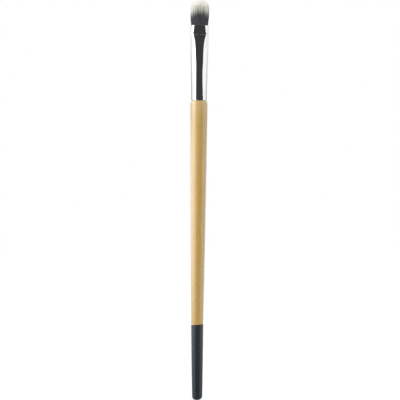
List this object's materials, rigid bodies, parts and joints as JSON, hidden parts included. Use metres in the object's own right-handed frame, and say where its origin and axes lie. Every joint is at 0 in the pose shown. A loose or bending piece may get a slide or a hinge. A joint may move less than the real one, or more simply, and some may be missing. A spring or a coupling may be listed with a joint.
{
  "type": "eyeshadow brush",
  "caption": "Long-handled eyeshadow brush: turned bamboo handle with a dark dipped tail, polished metal ferrule flattened at the mouth, and a domed two-tone tuft that flexes.",
  "frame": {"origin": "centre of the rounded tail end, where the brush stands tail-down in a holder", "axes": "+Z along the brush from the tail to the hair tips, +X across the wide side of the flattened head, +Y through its thin side, away from whoever looks at it as in the picture"},
  "size_m": [0.008, 0.0072, 0.1683],
  "materials": {
    "bamboo": "fine lengthwise grain under clear satin lacquer",
    "dip_lacquer": "glossy blue-black dip lacquer",
    "plated_metal": "polished plating with light handling marks",
    "dark_fibre": "dark synthetic fibre",
    "pale_fibre": "warm white synthetic fibre",
    "epoxy": "set amber epoxy",
    "wood_glue": "dried wood glue",
    "cotton_thread": "twisted cotton thread"
  },
  "bodies": {
    "handle": {"wooden_handle": "bamboo", "tail_dip_coat": "dip_lacquer", "ferrule": "plated_metal", "tenon_glue_film": "wood_glue", "root_glue_plug": "epoxy", "root_tie_thread": "cotton_thread", "fibre_roots": "dark_fibre"},
    "tuft": {"dark_base_fibres": "dark_fibre", "white_tip_fibres": "pale_fibre"}
  },
  "joints": [
    {"name": "tuft_flex", "type": "hinge", "parent": "handle", "child": "tuft", "pos_m": [0, 0, 0.1597], "axis": [1, 0, 0], "range_deg": [-30, 30], "stiffness_Nm_per_rad": 0.006}
  ]
}
